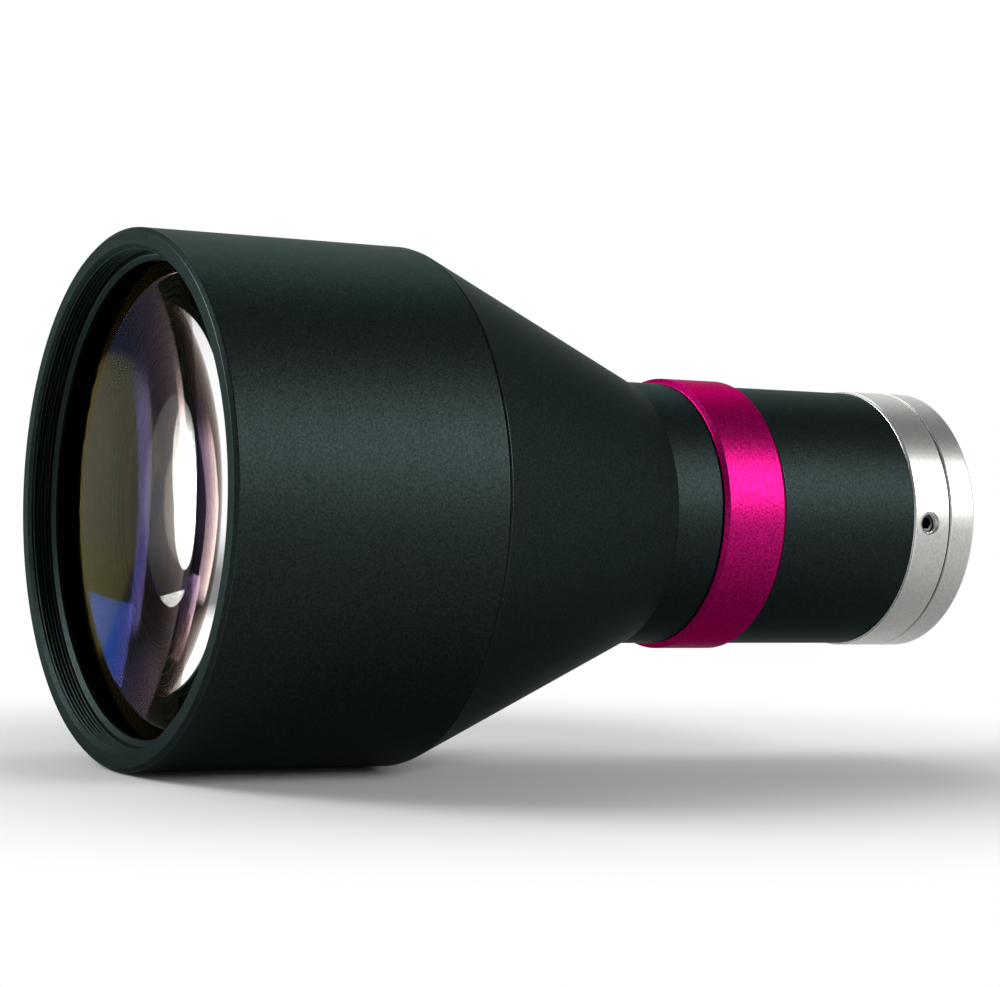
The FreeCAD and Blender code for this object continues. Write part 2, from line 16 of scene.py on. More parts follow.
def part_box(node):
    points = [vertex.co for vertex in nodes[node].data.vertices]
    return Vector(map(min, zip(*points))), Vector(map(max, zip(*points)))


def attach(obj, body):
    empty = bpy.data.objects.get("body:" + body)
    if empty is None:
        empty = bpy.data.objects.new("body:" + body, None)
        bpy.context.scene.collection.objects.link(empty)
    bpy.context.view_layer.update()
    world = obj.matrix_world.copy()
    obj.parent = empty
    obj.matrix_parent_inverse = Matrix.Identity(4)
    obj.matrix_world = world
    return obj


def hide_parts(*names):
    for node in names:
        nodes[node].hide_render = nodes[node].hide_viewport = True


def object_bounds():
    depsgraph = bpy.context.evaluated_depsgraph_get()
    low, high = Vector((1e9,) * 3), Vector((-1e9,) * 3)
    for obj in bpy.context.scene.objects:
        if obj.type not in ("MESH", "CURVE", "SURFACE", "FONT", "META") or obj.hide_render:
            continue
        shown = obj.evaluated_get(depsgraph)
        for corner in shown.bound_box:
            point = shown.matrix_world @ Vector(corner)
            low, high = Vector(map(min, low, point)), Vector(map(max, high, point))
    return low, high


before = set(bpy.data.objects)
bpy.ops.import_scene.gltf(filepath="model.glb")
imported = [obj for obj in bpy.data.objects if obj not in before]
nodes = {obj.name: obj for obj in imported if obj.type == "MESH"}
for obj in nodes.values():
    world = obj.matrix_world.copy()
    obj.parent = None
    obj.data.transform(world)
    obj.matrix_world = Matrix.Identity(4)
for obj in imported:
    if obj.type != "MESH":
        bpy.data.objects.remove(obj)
cad_low, cad_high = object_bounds()
print(f"{len(nodes)} nodes in a box of {[round(1000 * side, 1) for side in cad_high - cad_low]} mm")

# %% [markdown]
# ## The places along the axis
# A turned lens is drawn as a half section: every edge is a distance behind the front rim and a radius. The packed
# model already has those places, so most of them are read from the boxes of its nodes. The origin is the centre of
# the flange face, and the axis runs along Y.

# %% Read the places from the model
MM = 0.001
FLANGE = -cad_low.y / MM


def span(node):
    """Where a node starts and ends behind the front rim, and its outer radius, in millimetres."""
    low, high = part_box(node)
    return low[1] / MM + FLANGE, high[1] / MM + FLANGE, high[2] / MM


BARREL_END = span("front_barrel")[1]
RING_FACE, RING_REAR, RING_OUTER_R = span("front_retaining_ring")
ACCENT_FRONT, ACCENT_END, ACCENT_R = span("accent_ring")
TUBE_FRONT, TUBE_END, TUBE_R = span("body_tube")
SLEEVE_FRONT, SLEEVE_END, MOUNT_R = span("mount_sleeve")
TURNING_FRONT, THREAD_END, _ = span("c_mount_ring")
BARREL_R = span("front_barrel")[2]
print(f"flange {FLANGE:.2f}, barrel to {BARREL_END:.2f}, tube to {TUBE_END:.2f} mm")
print(f"coloured ring from {ACCENT_FRONT:.2f} to {ACCENT_END:.2f} mm")

# %% [markdown]
# ## The camera
# The camera stands to the side and a little in front of the glass, almost level with the axis, as in the picture.
# It is placed by an angle round the lens, an angle above the floor, a distance and a small tilt, which are easier
# to read than a matrix. The long focal length keeps the cone's edges nearly straight.

# %% Place the camera
CAMERA_AZIMUTH = 59.737
CAMERA_ELEVATION = 0.768
CAMERA_TILT = 2.134
CAMERA_DISTANCE = 0.38655
CAMERA_AIM = Vector((0.0, -0.06703, 0.00211))
FOCAL_LENGTH = 103.51


def direction(azimuth, elevation):
    """A unit vector from the lens outwards. Azimuth 0 is in front of the glass and 90 is along +X."""
    a = math.radians(azimuth)
    e = math.radians(elevation)
    return Vector((math.sin(a) * math.cos(e), -math.cos(a) * math.cos(e), math.sin(e)))


def look_from(place, aim, tilt=0.0):
    """A matrix that stands at a place and looks at a point along its own -Z."""
    turn = (aim - place).to_track_quat("-Z", "Y").to_matrix().to_4x4()
    return Matrix.Translation(place) @ turn @ Matrix.Rotation(math.radians(tilt), 4, "Z")


camera = bpy.data.objects.new("camera", bpy.data.cameras.new("camera"))
bpy.context.collection.objects.link(camera)
camera.data.lens = FOCAL_LENGTH
camera.data.sensor_width = 36.0
camera.data.clip_start = 0.01
camera.data.clip_end = 50.0
camera_place = CAMERA_AIM + CAMERA_DISTANCE * direction(CAMERA_AZIMUTH, CAMERA_ELEVATION)
camera.matrix_world = look_from(camera_place, CAMERA_AIM, CAMERA_TILT)
bpy.context.scene.camera = camera
bpy.context.scene.view_settings.view_transform = "Standard"
print("camera at", [round(c, 4) for c in camera_place])

# %% [markdown]
# ## Turning a part
# A lathe makes every part of this lens. A profile of corners is carried round the axis, just as the tool would
# trace it. A real edge is never sharp, because it is broken with a file or a small chamfer, and that narrow band
# is what catches the light. So each corner may have a small rounding. A support row is laid beside each rounding,
# which keeps the long flat face next to it truly flat in its shading.

# %% The profile and the lathe
def rounded(corners, steps=4):
    """Rows (place, radius, edge) of a closed profile whose corners (place, radius, rounding) are rounded."""
    rows = []
    count = len(corners)
    for i, (s, r, rounding) in enumerate(corners):
        here = Vector((s, r))
        if not rounding:
            rows.append((s, r, False))
            continue
        before = Vector(corners[i - 1][:2]) - here
        after = Vector(corners[(i + 1) % count][:2]) - here
        reach = min(rounding, 0.3 * before.length, 0.3 * after.length)
        start = here + before.normalized() * reach
        end = here + after.normalized() * reach
        outer = here + before.normalized() * reach * 1.5
        rows.append((outer.x, outer.y, False))
        for step in range(steps + 1):
            t = step / steps
            p = start * (1 - t) ** 2 + here * 2 * t * (1 - t) + end * t**2
            # The flag puts this band in the edge finish, whose paler colour is partly a painted highlight.
            rows.append((p.x, p.y, step < steps))
        outer = here + after.normalized() * reach * 1.5
        rows.append((outer.x, outer.y, False))
    return rows


def turned_mesh(name, rows, steps=288, closed=True, wave=None):
    """A mesh of rows (place, radius, material slot) carried round the Y axis.

    wave(place, radius, angle) may move a row's points, as a thread does.
    """
    points, rings, faces, face_slots = [], [], [], []
    for s, r, _ in rows:
        if r < 1e-6:
            rings.append([len(points)] * steps)
            points.append((0.0, (s - FLANGE) * MM, 0.0))
            continue
        rings.append(range(len(points), len(points) + steps))
        for k in range(steps):
            angle = 2 * math.pi * k / steps
            s1, r1 = wave(s, r, angle) if wave else (s, r)
            points.append((r1 * MM * math.cos(angle), (s1 - FLANGE) * MM, r1 * MM * math.sin(angle)))
    for i in range(len(rows) if closed else len(rows) - 1):
        near, far = rings[i], rings[(i + 1) % len(rows)]
        for k in range(steps):
            m = (k + 1) % steps
            corners = []
            for corner in (near[k], near[m], far[m], far[k]):
                if corner not in corners:
                    corners.append(corner)
            if len(corners) > 2:
                faces.append(corners)
                face_slots.append(rows[i][2])
    mesh = bpy.data.meshes.new(name)
    mesh.from_pydata(points, [], faces)
    mesh.polygons.foreach_set("material_index", [int(slot) for slot in face_slots])
    return mesh


def finish_mesh(mesh, sharp=32):
    """Turns the faces outwards, shades them smooth and keeps the real corners sharp."""
    work = bmesh.new()
    work.from_mesh(mesh)
    bmesh.ops.recalc_face_normals(work, faces=work.faces)
    work.to_mesh(mesh)
    work.free()
    mesh.polygons.foreach_set("use_smooth", [True] * len(mesh.polygons))
    mesh.set_sharp_from_angle(angle=math.radians(sharp))
    return mesh


def fit_piece(name, mesh, materials, replaced, sharp=32):
    """Makes the mesh an object with its materials, which rides on the root body in place of its CAD nodes."""
    finish_mesh(mesh, sharp)
    for material in materials:
        mesh.materials.append(material)
    piece = bpy.data.objects.new(name, mesh)
    bpy.context.collection.objects.link(piece)
    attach(piece, "root")
    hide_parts(*replaced)
    triangles = sum(len(face.vertices) - 2 for face in mesh.polygons)
    print(f"{name}: {triangles} triangles")


# %% [markdown]
# ## Black anodised aluminium
# The housing is bead blasted and then anodised black. The blasting leaves a fine, even grain, and the dye is never
# quite neutral: it leans to green. The surface is dull, yet it still mirrors a soft lamp as a wide pale band. A fine
# noise gives the grain, as bump and as a small change of colour, and a coarser one varies the roughness, as handling
# does. A broken edge is a bit smoother than the faces, so it gets a finish of its own. That finish is paler too:
# partly worn anodising, and partly a painted highlight along the edge.

# %% Mix the black finishes
def new_material(name):
    """An empty material with a Principled shader, and a helper that adds a node with its settings."""
    material = bpy.data.materials.new(name)
    material.use_nodes = True
    tree = material.node_tree
    shader = tree.nodes["Principled BSDF"]

    def add(kind, **settings):
        node = tree.nodes.new(kind)
        for key, value in settings.items():
            if key in node.inputs:
                node.inputs[key].default_value = value
            else:
                setattr(node, key, value)
        return node

    return material, tree, shader, add


NOISE_LOW = 0.35
NOISE_HIGH = 0.65


def two_tone(tree, add, source, low, high):
    """A colour ramp from one colour to another, driven by a noise."""
    ramp = add("ShaderNodeValToRGB")
    ramp.color_ramp.elements[0].position = NOISE_LOW
    ramp.color_ramp.elements[0].color = (*low, 1)
    ramp.color_ramp.elements[1].position = NOISE_HIGH
    ramp.color_ramp.elements[1].color = (*high, 1)
    tree.links.new(source, ramp.inputs["Fac"])
    return ramp.outputs["Color"]


def blasted_black(name, low, high, rough_low, rough_high, grain=0.65):
    """Bead blasted and anodised aluminium, with a grain finer than half a millimetre."""
    material, tree, shader, add = new_material(name)
    place = add("ShaderNodeTexCoord")
    clouds = add("ShaderNodeTexNoise", Scale=160.0, Detail=5.0, Roughness=0.65)
    fine = add("ShaderNodeTexNoise", Scale=3000.0, Detail=2.0, Roughness=0.6)
    spread = add("ShaderNodeMapRange")
    spread.inputs["To Min"].default_value = rough_low
    spread.inputs["To Max"].default_value = rough_high
    bump = add("ShaderNodeBump", Strength=grain, Distance=0.00003)
    for noise in (clouds, fine):
        tree.links.new(place.outputs["Object"], noise.inputs["Vector"])
    tree.links.new(two_tone(tree, add, fine.outputs["Fac"], low, high), shader.inputs["Base Color"])
    tree.links.new(clouds.outputs["Fac"], spread.inputs["Value"])
    tree.links.new(spread.outputs["Result"], shader.inputs["Roughness"])
    tree.links.new(fine.outputs["Fac"], bump.inputs["Height"])
    tree.links.new(bump.outputs["Normal"], shader.inputs["Normal"])
    shader.inputs["Metallic"].default_value = 1.0
    shader.inputs["Specular Tint"].default_value = (0.5, 0.54, 0.53, 1)
    return material


# The black edge finish is paler than the faces: partly wear, partly a painted highlight.
black = blasted_black("black_anodised", (0.009, 0.0133, 0.0129), (0.0155, 0.0226, 0.022), 0.46, 0.52)
black_edge_wear_and_highlight = blasted_black("black_edge_wear_and_painted_highlight", (0.014, 0.019, 0.018), (0.024, 0.03, 0.029), 0.3, 0.36, 0.15)
black_inside = blasted_black("black_inside", (0.004, 0.004, 0.004), (0.008, 0.008, 0.008), 0.5, 0.6)
print("black finishes mixed")

# %% [markdown]
# ## Magenta anodised ring
# The coloured ring is turned bright before it is dyed, so its colour sits on metal, not on paint: the highlight is
# magenta too. Fine tool marks run round it. A noise that knows only the place along the axis and the radius gives
# those marks, and a second, round one adds the sparkle of the etched skin. The silver parts are turned the same way.

# %% Mix the turned finishes
def turned_metal(name, low, high, rough_low, rough_high, line_scale, line_bump, sparkle, aniso):
    """Turned metal. The marks depend on the place along the axis and on the radius, so they run round the part."""
    material, tree, shader, add = new_material(name)
    place = add("ShaderNodeTexCoord")
    parts = add("ShaderNodeSeparateXYZ")
    squares = add("ShaderNodeVectorMath", operation="MULTIPLY")
    squares.inputs[1].default_value = (1.0, 0.0, 1.0)
    radius = add("ShaderNodeVectorMath", operation="LENGTH")
    across = add("ShaderNodeCombineXYZ")
    lines = add("ShaderNodeTexNoise", Scale=line_scale, Detail=4.0, Roughness=0.7)
    grain = add("ShaderNodeTexNoise", Scale=3000.0, Detail=2.0, Roughness=0.6)
    spread = add("ShaderNodeMapRange")
    spread.inputs["To Min"].default_value = rough_low
    spread.inputs["To Max"].default_value = rough_high
    tree.links.new(place.outputs["Object"], parts.inputs["Vector"])
    tree.links.new(place.outputs["Object"], squares.inputs[0])
    tree.links.new(squares.outputs["Vector"], radius.inputs[0])
    tree.links.new(parts.outputs["Y"], across.inputs["X"])
    tree.links.new(radius.outputs["Value"], across.inputs["Y"])
    tree.links.new(across.outputs["Vector"], lines.inputs["Vector"])
    tree.links.new(place.outputs["Object"], grain.inputs["Vector"])
    tree.links.new(two_tone(tree, add, grain.outputs["Fac"], low, high), shader.inputs["Base Color"])
    tree.links.new(lines.outputs["Fac"], spread.inputs["Value"])
    tree.links.new(spread.outputs["Result"], shader.inputs["Roughness"])
    ridges = add("ShaderNodeBump", Strength=line_bump, Distance=0.00002)
    dots = add("ShaderNodeBump", Strength=sparkle, Distance=0.00003)
    tree.links.new(lines.outputs["Fac"], ridges.inputs["Height"])
    tree.links.new(grain.outputs["Fac"], dots.inputs["Height"])
    tree.links.new(ridges.outputs["Normal"], dots.inputs["Normal"])
    tree.links.new(dots.outputs["Normal"], shader.inputs["Normal"])
    shader.inputs["Metallic"].default_value = 1.0
    shader.inputs["Anisotropic"].default_value = aniso
    tangent = add("ShaderNodeTangent", direction_type="RADIAL", axis="Y")
    tree.links.new(tangent.outputs["Tangent"], shader.inputs["Tangent"])
    return material


magenta = turned_metal("magenta_anodised", (0.2, 0.003, 0.06), (0.4, 0.006, 0.12), 0.38, 0.44, 2600.0, 0.1, 0.7, 0.0)
# The magenta edge finish is paler than its faces: partly wear, partly a painted highlight.
magenta_edge_wear_and_highlight = turned_metal(
    "magenta_edge_wear_and_painted_highlight", (0.26, 0.004, 0.075), (0.42, 0.008, 0.125), 0.3, 0.36, 2600.0, 0.1, 0.2, 0.0
)
steel = turned_metal("turned_steel", (0.37, 0.375, 0.355), (0.46, 0.465, 0.44), 0.28, 0.38, 3800.0, 0.12, 0.3, 0.2)
# The steel edge finish is paler than the steel faces: a painted highlight along the broken edges, on a smoother
# finish.
steel_edge_highlight = turned_metal(
    "steel_edge_painted_highlight", (0.66, 0.65, 0.62), (0.72, 0.71, 0.68), 0.16, 0.22, 3800.0, 0.1, 0.0, 0.0
)
# The set screws are near-black, far darker than their steel, which paints the shade deep in the tapped holes.
screw_steel = turned_metal(
    "screw_steel", (0.03, 0.03, 0.032), (0.05, 0.05, 0.052), 0.28, 0.38, 3000.0, 0.15, 0.1, 0.0
)
for dyed in (magenta, magenta_edge_wear_and_highlight):
    dyed.node_tree.nodes["Principled BSDF"].inputs["Specular Tint"].default_value = (0.55, 0.3, 0.4, 1)
brass = turned_metal("shim_brass", (0.7, 0.5, 0.2), (0.78, 0.6, 0.28), 0.3, 0.4, 2600.0, 0.2, 0.1, 0.0)
print("turned finishes mixed")

# %% [markdown]
# ## Coated glass
# Each element is polished glass with thin coatings that let nearly all light through. What little comes back is
# coloured: a dim olive from the front surface, and blue to violet from the rear of the doublet. A thin film makes
# such colours, because the light from its two faces partly cancels, and its thickness says which colour is left. The
# shader's own film does that here. A dark tint on the front surface cuts its reflection down further, as a coating
# of several layers would. Past the critical angle glass mirrors everything, and those bright crescents need no help.
# The rims are blackened with ink, as opticians do, so that no light enters from the side.

# %% Mix the glass finishes
GLASS_INDEX = 1.62


def coated_glass(name, reflected, film=0.0, film_index=1.33):
    """Clear glass whose coating reflects this colour. A film, given in nanometres, colours it too."""
    material, tree, shader, add = new_material(name)
    place = add("ShaderNodeTexCoord")
    haze = add("ShaderNodeTexNoise", Scale=90.0, Detail=3.0, Roughness=0.5)
    tree.links.new(place.outputs["Object"], haze.inputs["Vector"])
    spread = add("ShaderNodeMapRange")
    spread.inputs["From Min"].default_value = 0.6
    spread.inputs["To Min"].default_value = 0.0
    spread.inputs["To Max"].default_value = 0.01
    tree.links.new(haze.outputs["Fac"], spread.inputs["Value"])
    tree.links.new(spread.outputs["Result"], shader.inputs["Roughness"])
    shader.inputs["Base Color"].default_value = (1, 1, 1, 1)
    shader.inputs["Transmission Weight"].default_value = 1.0
    shader.inputs["IOR"].default_value = GLASS_INDEX
    shader.inputs["Specular Tint"].default_value = (*reflected, 1)
    shader.inputs["Thin Film Thickness"].default_value = film
    shader.inputs["Thin Film IOR"].default_value = film_index
    return material


front_coat = coated_glass("front_coated_glass", (0.0, 0.035, 0.02), 100.0, 1.25)
doublet_rear_coat = coated_glass("doublet_rear_coated_glass", (1.0, 1.0, 1.0), 230.0, 1.27)
plain_glass = coated_glass("plain_glass", (0.95, 1.0, 0.97))
rear_glass = coated_glass("rear_glass", (0.5, 0.8, 0.6))
rim_ink = blasted_black("rim_ink", (0.004, 0.004, 0.004), (0.008, 0.008, 0.008), 0.4, 0.5, 0.1)
print("glass finishes mixed")

# %% [markdown]
# ## The front barrel and its fine thread
# The barrel is a plain cylinder outside. Inside its rim is a thread with a pitch of half a millimetre, for filters
# and hoods. A thread is a groove that moves forward by one pitch a turn, so the radius at a place depends on the
# angle as well. The rows there are close together, and the wave helper moves each point to the groove's depth.

# %% Turn the front barrel
FINE_PITCH = 0.5
FINE_DEPTH = 0.27
FRONT_CREST_R = 31.23
MOUTH_CHAMFER = 0.6
ROW_STEP = 0.04
SEAM = 0.25


def groove_depth(turns, crest=0.22, root=0.14):
    """How deep a V thread is, from 0 to 1, this many turns along it."""
    t = turns % 1.0
    flank = (1.0 - crest - root) / 2
    if t < crest:
        return 0.0
    if t < crest + flank:
        return (t - crest) / flank
    if t < crest + flank + root:
        return 1.0
    return (1.0 - t) / flank


def front_thread(s, r, angle):
    """Cuts the fine thread into the rows of the mouth."""
    if r > FRONT_CREST_R + MOUTH_CHAMFER + 0.01 or s > RING_FACE:
        return s, r
    depth = FINE_DEPTH * groove_depth(s / FINE_PITCH - angle / (2 * math.pi))
    return s, max(FRONT_CREST_R + depth, FRONT_CREST_R + max(0.0, MOUTH_CHAMFER - s))


RING_THREAD_R = 31.55
SEAT_R = 31.05
LIP_R = 28.6
LIP_FRONT = span("front_meniscus_element")[1]
LIP_REAR = LIP_FRONT + 1.8
JOINT_BORE_R = 31.65
barrel_rows = rounded(
    [
        (0.0, BARREL_R - 0.5, 0.08),
        (0.0, FRONT_CREST_R + MOUTH_CHAMFER, 0.0),
    ]
    + [(ROW_STEP * k, FRONT_CREST_R, 0.0) for k in range(1, int(RING_FACE / ROW_STEP) + 1)]
    + [
        (RING_FACE, RING_THREAD_R, 0.0),
        (RING_REAR, RING_THREAD_R, 0.0),
        (RING_REAR, SEAT_R, 0.0),
        (LIP_FRONT, SEAT_R, 0.0),
        (LIP_FRONT, LIP_R, 0.1),
        (LIP_REAR, LIP_R, 0.1),
        (LIP_REAR, JOINT_BORE_R, 0.0),
        (BARREL_END, JOINT_BORE_R, 0.0),
        (BARREL_END, BARREL_R - SEAM, 0.06),
        (BARREL_END - SEAM, BARREL_R, 0.06),
        (0.5, BARREL_R, 0.1),
    ]
)
fit_piece(
    "front_barrel_turned",
    turned_mesh("front_barrel_turned", barrel_rows, 384, wave=front_thread),
    [black, black_edge_wear_and_highlight],
    ["front_barrel"],
)

# %% [markdown]
# ## The ring that holds the glass
# A thin threaded ring presses on the edge of the front glass. Its inner edge is tapered so that it does not cut
# into the cone of light, and the taper is what shows as a dark band between the thread and the glass.

# %% Turn the retaining ring
RING_LIP_R = 30.05
ring_rows = rounded(
    [
        (RING_FACE, RING_OUTER_R, 0.0),
        (RING_FACE, RING_OUTER_R - 0.8, 0.1),
        (RING_FACE + 0.45, RING_LIP_R, 0.05),
        (RING_FACE + 0.8, RING_LIP_R, 0.0),
        (RING_FACE + 0.8, SEAT_R, 0.0),
        (RING_REAR, SEAT_R, 0.0),
        (RING_REAR, RING_OUTER_R, 0.0),
    ]
)
fit_piece(
    "front_retaining_ring_turned",
    turned_mesh("front_retaining_ring_turned", ring_rows, 384),
    [black, black_edge_wear_and_highlight],
    ["front_retaining_ring"],
)

# %% [markdown]
# ## The cone housing
# The cone and the neck are one piece. Outside it is smooth. Inside, its wall is cut with shallow steps, like a
# coarse thread, because a smooth wall would mirror stray light past the baffles and on to the camera.

# %% Turn the cone housing
NECK_END = ACCENT_FRONT
CONE_LENGTH = 34.8
CONE_END = BARREL_END + CONE_LENGTH
CONE_END_R = 18.4
CONE_SLOPE = (CONE_END_R - BARREL_R) / CONE_LENGTH
JOINT_R = 31.6
NECK_BORE_R = 15.85
CAVITY_FRONT_R = 28.2
CAVITY_REAR_R = 14.4
CAVITY_START = BARREL_END + 1.2
CAVITY_END = span("rear_baffle")[0]
GROOVE_PITCH = 0.9
GROOVE = 0.3


def cavity_wall():
    """The stepped wall from the rear baffle forward to the front baffle."""
    rows = []
    length = CAVITY_END - CAVITY_START
    count = int(length / GROOVE_PITCH)
    for k in range(count):
        for part, deep in ((0.0, 0.0), (0.35, 1.0), (0.6, 1.0), (0.7, 0.0)):
            s = CAVITY_END - (k + part) * length / count
            wall = CAVITY_REAR_R + (CAVITY_FRONT_R - CAVITY_REAR_R) * (CAVITY_END - s) / length
            rows.append((s, wall + GROOVE * deep, 0.0))
    return rows


FRONT_BAFFLE_SEAT_R = 29.35
cone_rows = rounded(
    [
        (LIP_REAR + 0.1, JOINT_R, 0.1),
        (BARREL_END, JOINT_R, 0.0),
        (BARREL_END, BARREL_R - SEAM, 0.06),
        (BARREL_END + SEAM, BARREL_R + CONE_SLOPE * SEAM, 0.08),
        (CONE_END, CONE_END_R, 0.1),
        (CONE_END, TUBE_R, 0.05),
        (NECK_END - SEAM, TUBE_R, 0.08),
        (NECK_END, TUBE_R - SEAM, 0.06),
        (NECK_END, NECK_BORE_R, 0.0),
        (CAVITY_END, NECK_BORE_R, 0.0),
    ]
    + cavity_wall()
    + [
        (CAVITY_START, CAVITY_FRONT_R, 0.0),
        (CAVITY_START, FRONT_BAFFLE_SEAT_R, 0.0),
        (LIP_REAR + 0.1, FRONT_BAFFLE_SEAT_R, 0.1),
    ]
)
fit_piece(
    "cone_housing_turned",
    turned_mesh("cone_housing_turned", cone_rows, 320),
    [black, black_edge_wear_and_highlight],
    ["cone_housing"],
)

# %% [markdown]
# ## The coloured ring
# The ring stands a little proud of the tubes on both sides, with a wide chamfer on each of its edges.

# %% Turn the coloured ring
ACCENT_CHAMFER = 0.6
ACCENT_BORE_R = 17.05
accent_rows = rounded(
    [
        (ACCENT_FRONT, ACCENT_BORE_R, 0.0),
        (ACCENT_FRONT, ACCENT_R - ACCENT_CHAMFER, 0.08),
        (ACCENT_FRONT + ACCENT_CHAMFER, ACCENT_R, 0.08),
        (ACCENT_END - ACCENT_CHAMFER, ACCENT_R, 0.08),
        (ACCENT_END, ACCENT_R - ACCENT_CHAMFER, 0.08),
        (ACCENT_END, ACCENT_BORE_R, 0.0),
    ]
)
fit_piece(
    "accent_ring_turned",
    turned_mesh("accent_ring_turned", accent_rows, 320),
    [magenta, magenta_edge_wear_and_highlight],
    ["accent_ring"],
)

# %% [markdown]
# ## The body tube
# The tube carries the stop and the rear glass. Only its plain outside shows, and from behind a little of its bore.

# %% Turn the body tube
TUBE_BORE_R = 13.0
SPIGOT_R = 15.8
ACCENT_SEAT_R = 17.0
SLEEVE_SOCKET_R = 16.05
SLEEVE_SOCKET_DEPTH = 5.1
tube_rows = rounded(
    [
        (TUBE_FRONT, TUBE_BORE_R, 0.1),
        (TUBE_FRONT, SPIGOT_R, 0.1),
        (ACCENT_FRONT, SPIGOT_R, 0.0),
        (ACCENT_FRONT, ACCENT_SEAT_R, 0.05),
        (ACCENT_END, ACCENT_SEAT_R, 0.0),
        (ACCENT_END, TUBE_R - SEAM, 0.06),
        (ACCENT_END + SEAM, TUBE_R, 0.08),
        (TUBE_END - 0.1, TUBE_R, 0.0),
        (TUBE_END, TUBE_R - 0.1, 0.0),
        (TUBE_END, SLEEVE_SOCKET_R, 0.0),
        (TUBE_END - SLEEVE_SOCKET_DEPTH, SLEEVE_SOCKET_R, 0.0),
        (TUBE_END - SLEEVE_SOCKET_DEPTH, TUBE_BORE_R, 0.0),
    ]
)
fit_piece(
    "body_tube_turned",
    turned_mesh("body_tube_turned", tube_rows, 320),
    [black, black_edge_wear_and_highlight],
    ["body_tube"],
)

# %% [markdown]
# ## The silver mount sleeve and its screw holes
# The sleeve has three threaded holes for the set screws that lock the turning ring. The lathe makes the sleeve, and
# a tap cuts the holes: the tap is a mesh with the thread on it, and a boolean takes it away from the sleeve. That
# is how the real thread is made too, and it gives the fine lines that show on the wall of the hole.

# %% Turn the sleeve and tap the holes
SCREW_PLACE = TUBE_END + 2.6
SCREW_SUNK = 0.85
TURNING_R = 15.25
TURNING_GROOVE = 1.0
SCREW_HOLE_R = 1.5
TAP_R = 1.24
TAP_DEPTH = 0.25
SLEEVE_BORE_R = 13.6
SLEEVE_SPIGOT_R = 16.0
SLEEVE_POCKET_R = 15.3
SLEEVE_WEB = 0.8
SCREW_ANGLES = [0.0, 120.0, 240.0]


def radial_mesh(name, rows, steps, wave=None):
    """A mesh of rows (height, radius) carried round the X axis at the screws' place, for a screw or a tap."""
    points = []
    for height, r in rows:
        for k in range(steps):
            angle = 2 * math.pi * k / steps
            r1 = wave(height, r, angle) if wave else r
            along = r1 * MM * math.cos(angle) + (SCREW_PLACE - FLANGE) * MM
            points.append((height * MM, along, r1 * MM * math.sin(angle)))
    faces = []
    for i in range(len(rows) - 1):
        for k in range(steps):
            m = (k + 1) % steps
            faces.append((i * steps + k, i * steps + m, (i + 1) * steps + m, (i + 1) * steps + k))
    faces.append(tuple(range(steps)))
    faces.append(tuple(range(len(points) - 1, len(points) - steps - 1, -1)))
    mesh = bpy.data.meshes.new(name)
    mesh.from_pydata(points, [], faces)
    return mesh


def tap_thread(height, r, angle):
    """The tap's thread, down to just above the screw."""
    if height < MOUNT_R - SCREW_SUNK or r > 1.45:
        return r
    return TAP_R + TAP_DEPTH * (1.0 - groove_depth(height / FINE_PITCH - angle / (2 * math.pi)))


tap_rows = [
    (TURNING_R - 0.8, SCREW_HOLE_R),
    (MOUNT_R - SCREW_SUNK - 0.02, SCREW_HOLE_R),
    (MOUNT_R - SCREW_SUNK, TAP_R),
]
tap_rows += [(MOUNT_R - SCREW_SUNK + ROW_STEP * k, TAP_R) for k in range(1, 16)]
tap_rows += [(MOUNT_R - 0.2, 1.46), (MOUNT_R + 0.4, 2.1)]
tap_mesh = finish_mesh(radial_mesh("tap", tap_rows, 64, tap_thread))
sleeve_rows = rounded(
    [
        (SLEEVE_FRONT, SLEEVE_BORE_R, 0.1),
        (SLEEVE_FRONT, SLEEVE_SPIGOT_R, 0.1),
        (TUBE_END, SLEEVE_SPIGOT_R, 0.0),
        (TUBE_END, MOUNT_R - SEAM, 0.05),
        (TUBE_END + SEAM, MOUNT_R, 0.06),
        (SLEEVE_END - SEAM, MOUNT_R, 0.06),
        (SLEEVE_END, MOUNT_R - SEAM, 0.05),
        (SLEEVE_END, SLEEVE_POCKET_R, 0.0),
        (TUBE_END + SLEEVE_WEB, SLEEVE_POCKET_R, 0.0),
        (TUBE_END + SLEEVE_WEB, SLEEVE_BORE_R, 0.0),
    ]
)
sleeve_mesh = finish_mesh(turned_mesh("mount_sleeve_turned", sleeve_rows, 288))
sleeve_blank = bpy.data.objects.new("sleeve_blank", sleeve_mesh)
bpy.context.collection.objects.link(sleeve_blank)
taps = []
for angle in SCREW_ANGLES:
    tap = bpy.data.objects.new("tap", tap_mesh)
    tap.matrix_world = Matrix.Rotation(math.radians(angle), 4, "Y")
    bpy.context.collection.objects.link(tap)
    taps.append(tap)
    cut = sleeve_blank.modifiers.new("tapped_hole", "BOOLEAN")
    cut.operation = "DIFFERENCE"
    cut.solver = "EXACT"
    cut.object = tap
tapped = bpy.data.meshes.new_from_object(sleeve_blank.evaluated_get(bpy.context.evaluated_depsgraph_get()))
tapped.name = "mount_sleeve_tapped"
for scrap in [sleeve_blank, *taps]:
    bpy.data.objects.remove(scrap)
fit_piece("mount_sleeve_tapped", tapped, [steel, steel_edge_highlight], ["mount_sleeve"], sharp=28)

# %% [markdown]
# ## The set screws
# Each screw has a hexagon socket and a cone point that stands in the groove of the turning ring. All three are one
# piece of the scene, because they are one node of the model.

# %% Make the set screws
SOCKET_R = 1.5 / math.sqrt(3)
SHANK_R = 1.45
screw_points, screw_faces = [], []


